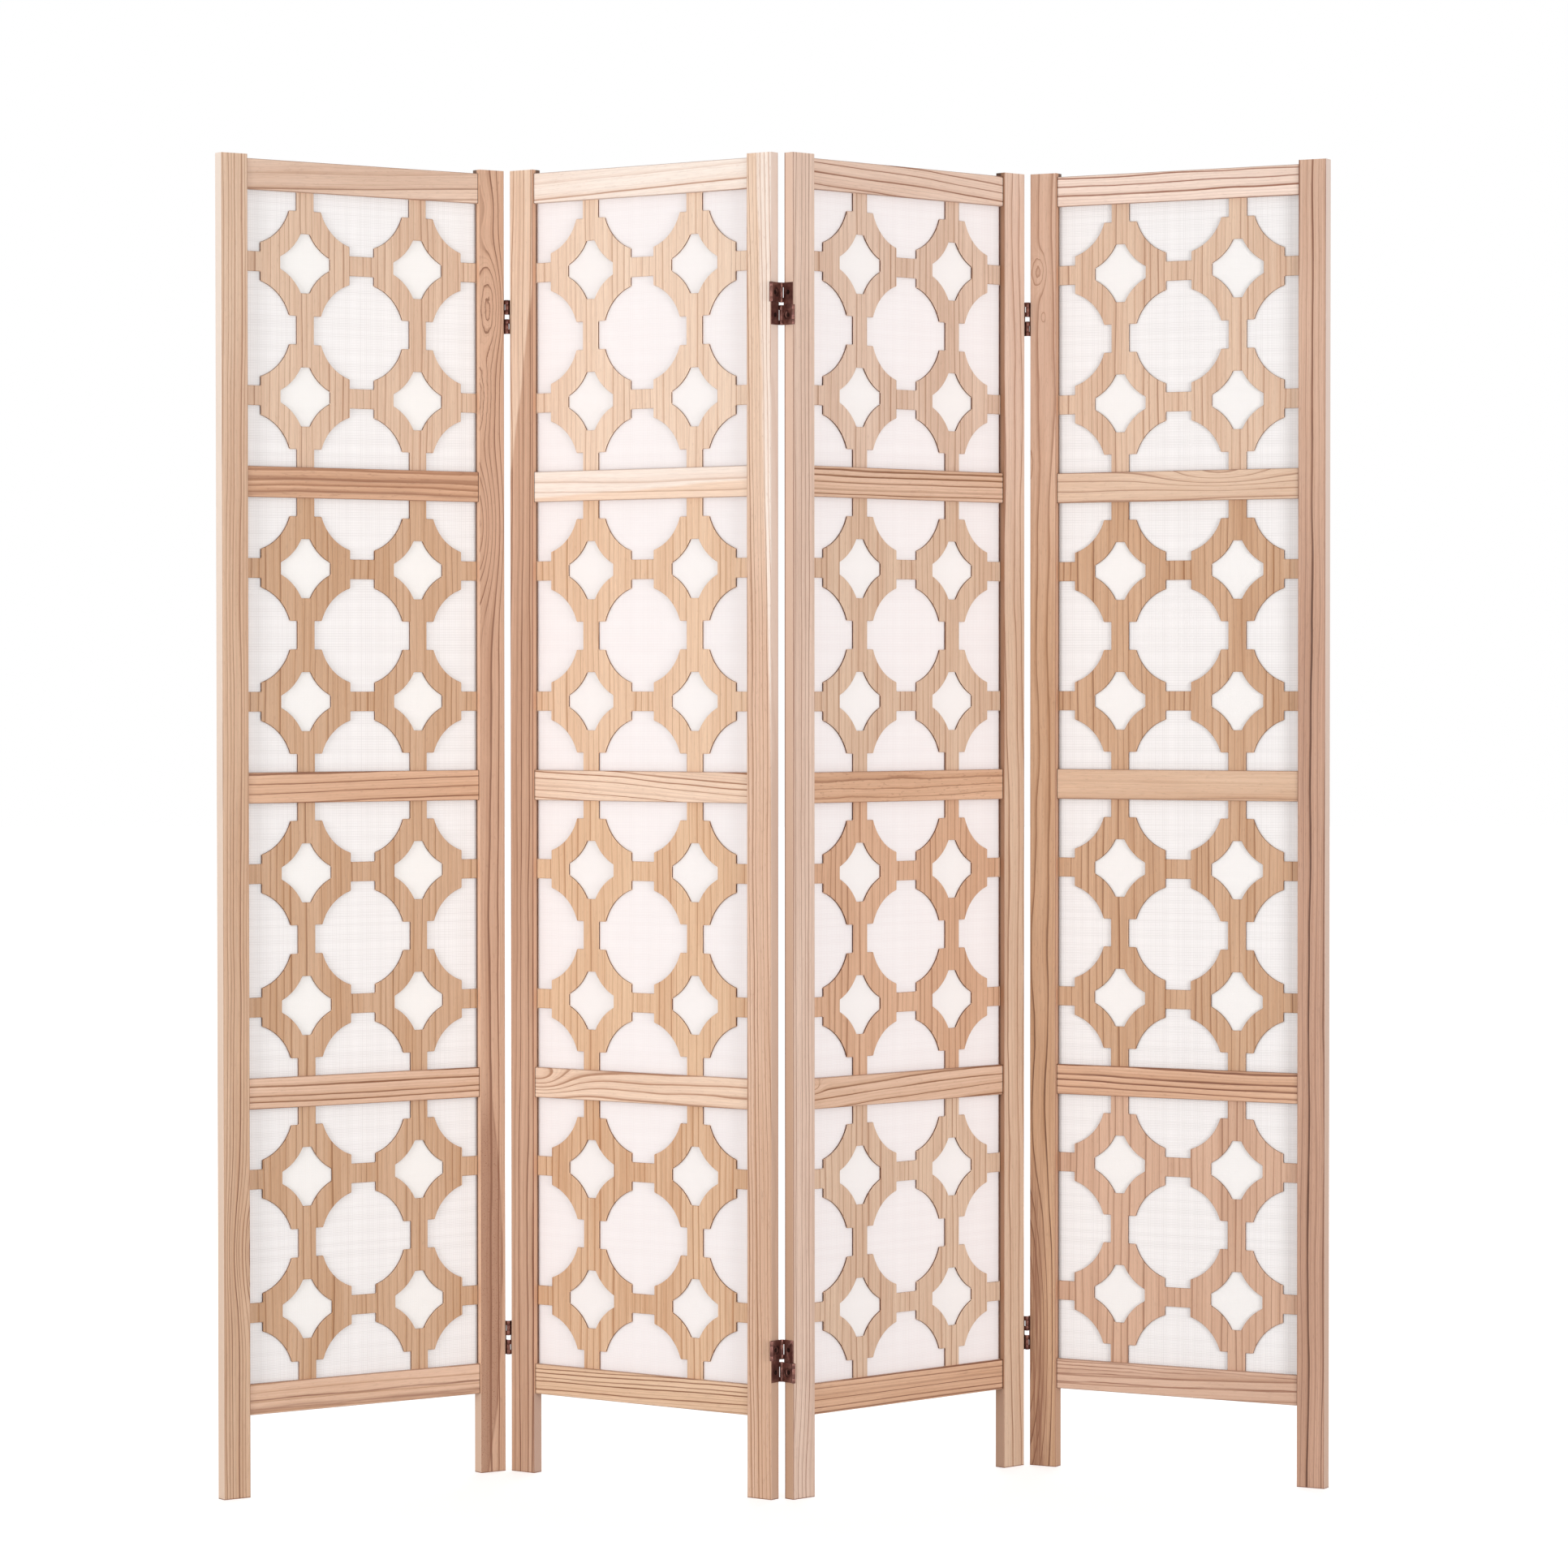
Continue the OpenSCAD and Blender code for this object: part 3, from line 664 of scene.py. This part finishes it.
# the fretwork: one board for each opening, cut by a rule, so it is grown from nodes; lap is how far it
# lies in the rebate, gap how far its windows reach past the opening
fret = {"lap": 0.0055, "gap": 0.0005, "edgeIn": 0.005, "cutDeep": 4.0, "cutDeeper": 1.5, "sides": 120,
        "weld": 0.000005, "sideFacing": 0.7, "easedEdge": 0.0008, "clothOff": 0.00028}
fretBoard = {"Board Wide": openWide + 2 * fret["lap"], "Board High": openHigh + 2 * fret["lap"],
             "Board Thick": 0.0032,
             "Open Wide": openWide + 2 * fret["gap"], "Open High": openHigh + 2 * fret["gap"],
             "Pitch Across": openWide / 2 - fret["edgeIn"], "Pitch Up": openHigh / 2 - fret["edgeIn"],
             "Round Radius": 0.063, "Notch Wide": 0.0365, "Strap Wide": 0.025,
             "Tip Gap": 0.094, "Hollow In": 0.02, "Bay Pitch": bayMiddles[1] - bayMiddles[0], "Bays": 4}


def grow(name, tree, values):  # a node tree's result as a plain mesh object
    source = newObject(name + "_source", bpy.data.meshes.new(name + "_source"))
    modifier = source.modifiers.new("grow", "NODES")
    modifier.node_group = tree
    for item in tree.interface.items_tree:
        if item.item_type == "SOCKET" and item.in_out == "INPUT":
            modifier[item.identifier] = values[item.name]
    mesh = appliedMesh(source)
    bpy.data.objects.remove(source)
    mesh.name = name
    return newObject(name, mesh)


def block(tree, wide, deep, high):  # a box round the origin
    size = vectorFrom(tree, wide, deep, high)
    return addNode(tree, "GeometryNodeMeshCube", {"Size": size}).outputs["Mesh"]


def tipped(tree, shape):  # turned so that what stood along Z lies along Y
    inputs = {"Geometry": shape, "Rotation": (math.pi / 2, 0, 0)}
    return made(tree, "GeometryNodeTransform", inputs)


def rod(tree, radius, deep):  # a cylinder along Y round the origin
    inputs = {"Vertices": fret["sides"], "Radius": radius, "Depth": deep}
    return tipped(tree, addNode(tree, "GeometryNodeMeshCylinder", inputs).outputs["Mesh"])


def cutter(tree, operation, first, *others):
    node = addNode(tree, "GeometryNodeMeshBoolean", operation=operation, solver="EXACT")
    if operation == "DIFFERENCE":
        tree.links.new(first, node.inputs["Mesh 1"])
    else:
        others = (first, *others)
    for other in others:
        tree.links.new(other, node.inputs["Mesh 2"])
    return node.outputs["Mesh"]


def atPoints(tree, points, shape):
    return made(tree, "GeometryNodeInstanceOnPoints", {"Points": points, "Instance": shape})


def atGrid(tree, shape, wide, high, count):  # copies on a square grid that stands in the XZ plane
    inputs = {"Size X": wide, "Size Y": high, "Vertices X": count, "Vertices Y": count}
    grid = tipped(tree, addNode(tree, "GeometryNodeMeshGrid", inputs).outputs["Mesh"])
    return made(tree, "GeometryNodeRealizeInstances", {0: atPoints(tree, grid, shape)})


def fretworkTree():
    tree = bpy.data.node_groups.new("fretwork", "GeometryNodeTree")
    addSockets(tree, "INPUT", "Float", *(label for label in fretBoard if label != "Bays"))
    addSockets(tree, "INPUT", "Int", "Bays")
    addSockets(tree, "INPUT", "Material", "Face", "Cut")
    addSockets(tree, "OUTPUT", "Geometry", "Geometry")
    given = tree.nodes.new("NodeGroupInput").outputs
    deep = times(tree, given["Board Thick"], fret["cutDeep"])
    deeper = times(tree, deep, fret["cutDeeper"])

    reach, double, tip, side = {}, {}, {}, {}
    for axis in ("Across", "Up"):
        pitch = given["Pitch " + axis]
        reach[axis] = minus(tree, pitch, given["Strap Wide"])
        double[axis] = times(tree, pitch, 2.0)
        tip[axis] = minus(tree, pitch, given["Tip Gap"])
        side[axis] = minus(tree, calc(tree, "DIVIDE", pitch, 2.0), given["Hollow In"])
        side[axis] = times(tree, side[axis], 2.0)

    # the rounds: a circle with a notch on each of its four sides
    tall = block(tree, given["Notch Wide"], deep, reach["Up"])
    broad = block(tree, reach["Across"], deep, given["Notch Wide"])
    roundWindow = cutter(tree, "UNION", rod(tree, given["Round Radius"], deep), tall, broad)
    rounds = atGrid(tree, roundWindow, double["Across"], double["Up"], 3)

    # the hollow-sided windows between them
    sides = atGrid(tree, rod(tree, given["Round Radius"], deeper), side["Across"], side["Up"], 2)
    hollowWindow = cutter(tree, "DIFFERENCE", block(tree, tip["Across"], deep, tip["Up"]), sides)
    hollows = atGrid(tree, hollowWindow, given["Pitch Across"], given["Pitch Up"], 2)

    windows = addNode(tree, "GeometryNodeJoinGeometry")
    for shape in (rounds, hollows):
        tree.links.new(shape, windows.inputs[0])
    inside = block(tree, given["Open Wide"], deeper, given["Open High"])
    windows = cutter(tree, "INTERSECT", windows.outputs[0], inside)
    board = block(tree, given["Board Wide"], given["Board Thick"], given["Board High"])
    board = cutter(tree, "DIFFERENCE", board, windows)
    inputs = {"Geometry": board, "Distance": fret["weld"]}
    board = made(tree, "GeometryNodeMergeByDistance", inputs)

    # a column of boards, each with its number, and the cut sides in their own material
    inputs = {"Count": given["Bays"], "Offset": vectorFrom(tree, z=given["Bay Pitch"])}
    boards = atPoints(tree, made(tree, "GeometryNodeMeshLine", inputs), board)
    inputs = {"Geometry": boards, "Name": boardNumber,
              "Value": made(tree, "GeometryNodeInputIndex")}
    boards = made(tree, "GeometryNodeStoreNamedAttribute", inputs, data_type="FLOAT", domain="INSTANCE")
    boards = made(tree, "GeometryNodeRealizeInstances", {0: boards})
    inputs = {"Geometry": boards, "Material": given["Face"]}
    boards = made(tree, "GeometryNodeSetMaterial", inputs)
    facing = axes(tree, made(tree, "GeometryNodeInputNormal"))[1]
    inputs = {0: calc(tree, "ABSOLUTE", facing), 1: fret["sideFacing"]}
    cut = made(tree, "FunctionNodeCompare", inputs, operation="LESS_THAN")
    inputs = {"Geometry": boards, "Selection": cut, "Material": given["Cut"]}
    boards = made(tree, "GeometryNodeSetMaterial", inputs)
    feed(tree, tree.nodes.new("NodeGroupOutput"), {0: boards})
    return tree


edges = {"bevelOver": 35, "sharpOver": 30}  # degrees between two faces


def easeEdges(piece, width, segments, materialIndex=-1):  # a small bevel, applied
    modifier = piece.modifiers.new("edges", "BEVEL")
    modifier.width = width
    modifier.segments = segments
    modifier.limit_method = "ANGLE"
    modifier.angle_limit = math.radians(edges["bevelOver"])
    modifier.material = materialIndex
    mesh = appliedMesh(piece)
    piece.modifiers.remove(modifier)
    piece.data = mesh


def smoothSides(piece):
    piece.data.shade_smooth()
    piece.data.set_sharp_from_angle(angle=math.radians(edges["sharpOver"]))


# each panel's boards: the bottom one's tone, and those of the three above it
fretLooks = {
    1: {"tone": "caramel", "above": ("caramel", "caramel", "barley"), "lines": 0.46, "seed": 51},
    2: {"tone": "butter", "above": ("straw", "wheat", "cream"), "lines": 0.36, "seed": 62},
    3: {"tone": "barley", "above": ("rust", "barley", "dusk"), "lines": 0.42, "seed": 73},
    4: {"tone": "amber", "above": ("toffee", "toffee", "barley"), "lines": 0.48, "seed": 84},
}
plainBoard = {"pith": (0.25, 0.05), "ring": 0.0105, "warp": 0.012, "wide": 0.0012, "rough": 0.0006,
              "shade": 0.8}
scorched = {"dark": "#4A2A1E", "pale": "#6B4432", "roughness": 0.85, "sheen": 0.2}


def cutMaterial(name):  # the cut sides of the windows, scorched dark
    material, tree, shader = newMaterial(name)
    scorch = texture(tree, objectPlace(tree), "scorch")
    colour = mixColour(tree, scorch, tone(scorched["dark"]), tone(scorched["pale"]))
    feed(tree, shader, {"Base Color": colour, "Roughness": scorched["roughness"],
                        "Specular IOR Level": scorched["sheen"]})
    return material


fretTree = fretworkTree()
cutSides = cutMaterial("fret_cut_sides")
boardMiddle = fretFront + fretBoard["Board Thick"] / 2
for number in panelNumbers:
    look = {**plainBoard, **fretLooks[number]}
    face = woodMaterial(f"panel_{number}_fret_face", number, (0, 0), True, look)
    boards = grow(f"panel_{number}_fret_boards", fretTree, dict(fretBoard, Face=face, Cut=cutSides))
    lowest = Matrix.Translation((0, boardMiddle, bayMiddles[0]))
    boards.data.transform(places[number]["matrix"] @ lowest)
    easeEdges(boards, fret["easedEdge"], 1, 1)
    smoothSides(boards)
    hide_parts(f"panel_{number}_fretwork")
    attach(boards, f"panel_{number}")
    print("fret boards", number, len(boards.data.polygons), "faces")


# the cloth: one stretched pane on the back of each board
pane = {"wide": fretBoard["Board Wide"], "high": fretBoard["Board High"], "thick": 0.00035, "cells": 60,
        "ripple": 0.00006, "wavesAcross": 41, "wavesUp": 37, "bayShift": 3,
        "back": fretFront + fretBoard["Board Thick"] + fret["clothOff"],
        "thread": 0.0021, "wander": 0.0005, "hollowFrom": 0.038, "hollowTo": 0.043,
        "hollowTint": 0.7, "hollowFaint": 0.75,
        "bump": 0.3, "bumpDeep": 0.0003, "roughness": 0.92, "sheen": 0.15}

weaves = {
    1: {"thread": "#FAF8F8", "gap": "#DCD8D7", "hollow": "#F5F3F0", "contrast": 0.8},
    2: {"thread": "#FCF7F7", "gap": "#EADFDE", "hollow": "#F9F5F3", "contrast": 0.4},
    3: {"thread": "#FBF6F6", "gap": "#E8DCDC", "hollow": "#F8F4F2", "contrast": 0.5},
    4: {"thread": "#F8F6F6", "gap": "#D8D5D4", "hollow": "#F2F0EE", "contrast": 0.8},
}


def threadGaps(tree, along, own, name):  # the gaps beside one set of threads
    seed = patterns[name][2]
    along = calc(tree, "MULTIPLY_ADD", pattern(tree, own, name), pane["wander"], along)
    count = calc(tree, "DIVIDE", along, pane["thread"])
    wave = calc(tree, "ABSOLUTE", minus(tree, calc(tree, "FRACT", count), 0.5))
    chance = chanceOf(tree, calc(tree, "ADD", calc(tree, "FLOOR", count), seed))
    return times(tree, step(tree, wave, "threadGap"), step(tree, chance, "threadChance"))


def behindHollows(tree, split):  # 1 on the cloth's front behind the hollow windows
    bayPitch = fretBoard["Bay Pitch"]
    height = minus(tree, split[2], bayMiddles[0] - bayPitch / 2)
    height = calc(tree, "FLOORED_MODULO", height, bayPitch)
    height = minus(tree, height, bayPitch / 2)
    nearest = []
    for place, pitch in ((split[0], fretBoard["Pitch Across"]), (height, fretBoard["Pitch Up"])):
        off = minus(tree, calc(tree, "ABSOLUTE", place), pitch / 2)
        nearest.append(calc(tree, "ABSOLUTE", off))
    furthest = calc(tree, "MAXIMUM", *nearest)
    hollow = ease(tree, furthest, pane["hollowFrom"], pane["hollowTo"], 1.0, 0.0)
    front = ease(tree, split[1], pane["back"] - pane["ripple"], pane["back"] + pane["ripple"], 1.0, 0.0)
    return times(tree, hollow, front)


def clothMaterial(number):  # plain weave: two sets of threads, some a little thicker
    look = weaves[number]
    material, tree, shader = newMaterial(f"panel_{number}_cloth_weave")
    own = panelCoordinates(tree, number)
    split = axes(tree, own)
    upright = threadGaps(tree, split[0], own, "threadsUp")
    level = threadGaps(tree, split[2], own, "threadsAcross")
    gaps = calc(tree, "MAXIMUM", upright, level)
    hollow = behindHollows(tree, split)
    fading = -pane["hollowFaint"] * look["contrast"]
    faint = calc(tree, "MULTIPLY_ADD", hollow, fading, look["contrast"])
    colour = mixColour(tree, times(tree, gaps, faint), tone(look["thread"]), tone(look["gap"]))
    tint = times(tree, hollow, pane["hollowTint"])
    colour = mixColour(tree, tint, colour, tone(look["hollow"]))
    normal = bump(tree, times(tree, gaps, -1.0), pane["bump"], pane["bumpDeep"])
    feed(tree, shader, {"Base Color": colour, "Normal": normal, "Roughness": pane["roughness"],
                        "Specular IOR Level": pane["sheen"]})
    return material


def clothPane(number, bay):
    cells = pane["cells"]
    verts = []
    for row in range(cells + 1):
        for column in range(cells + 1):
            x = (column / cells - 0.5) * pane["wide"]
            z = (row / cells - 0.5) * pane["high"]
            across = math.sin(pane["wavesAcross"] * x + pane["bayShift"] * bay)
            y = pane["back"] + pane["ripple"] * across * math.cos(pane["wavesUp"] * z + number)
            verts.append((x, y, z + bayMiddles[bay]))
    faces = []
    for row in range(cells):
        for column in range(cells):
            start = row * (cells + 1) + column
            faces.append((start, start + 1, start + cells + 2, start + cells + 1))
    mesh = bpy.data.meshes.new(f"panel_{number}_cloth_{bay + 1}")
    mesh.from_pydata(verts, [], faces)
    mesh.transform(places[number]["matrix"])
    mesh.shade_smooth()
    sheet = newObject(mesh.name, mesh)
    shell = sheet.modifiers.new("thickness", "SOLIDIFY")
    shell.thickness = pane["thick"]
    shell.offset = 0
    return sheet


for number in panelNumbers:
    weave = clothMaterial(number)
    for bay in range(len(bayMiddles)):
        sheet = clothPane(number, bay)
        sheet.data.materials.append(weave)
        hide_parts(f"panel_{number}_cloth")
        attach(sheet, f"panel_{number}")
print("cloth panes stretched")


# the hinges, pins and screws: the CAD shapes with their edges eased
# leaf is the side hinges' colour, darkened as painted shade for the valley fold gaps they sit in;
# centreLeaf is the centre fold's
metal = {"edge": 0.00015, "weld": 0.000002, "flatWithin": 1, "leaf": "#4E2A24", "centreLeaf": "#64403A",
         "worn": "#A97666", "dark": "#26140F", "wear": 0.3, "leafRough": 0.36, "screwRough": 0.38,
         "roughSpread": 0.08, "bump": 0.15, "bumpDeep": 0.0001, "metallic": 0.7}


def hingeMaterial(name, base, centre, worn, roughness):  # the centre fold's hinges are the brighter ones
    material, tree, shader = newMaterial(name)
    place = objectPlace(tree)
    # painted shade: the hinges at the side folds keep the darker leaf colour, the centre fold's the
    # brighter one
    centreOutOfShade = step(tree, calc(tree, "ABSOLUTE", axes(tree, place)[0]), "centreHinge")
    colour = mixColour(tree, centreOutOfShade, tone(base), tone(centre))
    cloud = texture(tree, place, "bronze")
    colour = mixColour(tree, times(tree, cloud, metal["wear"]), colour, tone(worn))
    rough = ease(tree, cloud, 0.0, 1.0, roughness - metal["roughSpread"], roughness + metal["roughSpread"])
    normal = bump(tree, pattern(tree, place, "metalGrain"), metal["bump"], metal["bumpDeep"])
    feed(tree, shader, {"Base Color": colour, "Roughness": rough, "Normal": normal,
                        "Metallic": metal["metallic"]})
    return material


def finishMetal(node, material, body):
    piece = newObject(node + "_finished", frame["nodes"][node].data.copy())
    shape = bmesh.new()
    shape.from_mesh(piece.data)
    bmesh.ops.remove_doubles(shape, verts=shape.verts, dist=metal["weld"])
    flat = math.radians(metal["flatWithin"])
    bmesh.ops.dissolve_limit(shape, angle_limit=flat, verts=shape.verts, edges=shape.edges)
    shape.to_mesh(piece.data)
    shape.free()
    piece.data.materials.clear()
    piece.data.materials.append(material)
    easeEdges(piece, metal["edge"], 2)
    smoothSides(piece)
    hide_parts(node)
    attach(piece, body)


hingeSteel = hingeMaterial("hinge_bronzed_steel", metal["leaf"], metal["centreLeaf"], metal["worn"],
                           metal["leafRough"])
screwSteel = hingeMaterial("screw_dark_steel", metal["dark"], metal["dark"], metal["leaf"],
                           metal["screwRough"])
for number in panelNumbers:
    body = f"panel_{number}"
    for part in ("hinge_leaves", "hinge_links"):
        finishMetal(f"{body}_{part}", hingeSteel, body)
    for part in ("hinge_pins", "hinge_screws"):
        finishMetal(f"{body}_{part}", screwSteel, body)
print("hinges finished")

dowelLook = {"tone": "blond", "pith": (0.02, 0.01), "ring": 0.003, "warp": 0.01, "lines": 0.3, "seed": 99}
for number in panelNumbers:
    dowelWood = woodMaterial(f"panel_{number}_dowel_wood", number, (0, 0), False, dowelLook)
    dress(f"panel_{number}_dowels", dowelWood)
print("dowels dressed")


# the camera, at the height and place the photograph was taken from, in metres, degrees and pixels
view = {"away": 6.465, "aside": 0.0033, "high": 1.0326, "down": 1.133, "roll": 0.027,
        "focal": 6310, "image": 1932}
centreFold = next(joint for joint in frame["joints"] if joint["name"] == "fold_centre")["pos_m"]
lens = bpy.data.cameras.new("camera")
lens.sensor_fit = "HORIZONTAL"
lens.angle = 2 * math.atan(view["image"] / 2 / view["focal"])
camera = newObject("camera", lens)
camera.location = (centreFold[0] + view["aside"], centreFold[1] - view["away"], view["high"])
camera.rotation_euler = (math.radians(90 - view["down"]), math.radians(view["roll"]), 0)
bpy.context.scene.camera = camera

# a soft white room; the camera sees its floor glow a little more with distance
room = {"floor": 60.0, "ambient": 0.583, "floorColour": "#CFCDCC", "floorRough": 0.9,
        "glowNear": 0.6, "glowFar": 0.75, "glowFrom": 1.5, "glowTo": 6.0}
white = (1, 1, 1, 1)
lamps = {
    "left_softbox": {"place": (-4.2, -4.6, 0.95), "aim": (0, 0, 0.85), "size": 1.8, "power": 142},
    "right_softbox": {"place": (4.0, -4.8, 0.95), "aim": (0, 0, 0.85), "size": 1.8, "power": 157},
    "back_softbox": {"place": (0.5, 4.5, 3.2), "aim": (0, 0, 0.9), "size": 2.8, "power": 105},
}


def cameraShare(tree):  # 1 for rays that see the surface itself, straight, mirrored or through glass
    path = addNode(tree, "ShaderNodeLightPath").outputs
    seen = calc(tree, "MAXIMUM", path["Is Camera Ray"], path["Is Glossy Ray"])
    return calc(tree, "MAXIMUM", seen, path["Is Transmission Ray"])


def makeWorld():
    world = bpy.data.worlds.new("room")
    bpy.context.scene.world = world
    world.use_nodes = True
    tree = world.node_tree
    strength = ease(tree, cameraShare(tree), 0.0, 1.0, room["ambient"], 1.0)
    feed(tree, tree.nodes["Background"], {"Color": white, "Strength": strength})


def makeFloor():
    half = room["floor"] / 2
    corners = [(-half, -half, 0), (half, -half, 0), (half, half, 0), (-half, half, 0)]
    mesh = bpy.data.meshes.new("floor")
    mesh.from_pydata(corners, [], [(0, 1, 2, 3)])
    material, tree, shader = newMaterial("floor_white")
    distance = vectorCalc(tree, "LENGTH", objectPlace(tree), result="Value")
    glow = ease(tree, distance, room["glowFrom"], room["glowTo"], room["glowNear"], room["glowFar"])
    glow = times(tree, cameraShare(tree), glow)
    feed(tree, shader, {"Base Color": tone(room["floorColour"]), "Roughness": room["floorRough"],
                        "Specular IOR Level": 0.0, "Emission Color": white, "Emission Strength": glow})
    mesh.materials.append(material)
    floor = newObject("floor", mesh)


def softbox(name, place, aim, size, power):
    light = bpy.data.lights.new(name, "AREA")
    light.shape = "SQUARE"
    light.size = size
    light.energy = power
    lamp = newObject(name, light)
    lamp.location = place
    lamp.rotation_euler = (Vector(aim) - Vector(place)).to_track_quat("-Z", "Y").to_euler()


makeWorld()
makeFloor()
for name, lamp in lamps.items():
    softbox(name, **lamp)
bpy.context.scene.view_settings.view_transform = "Standard"
print("camera and lights set")
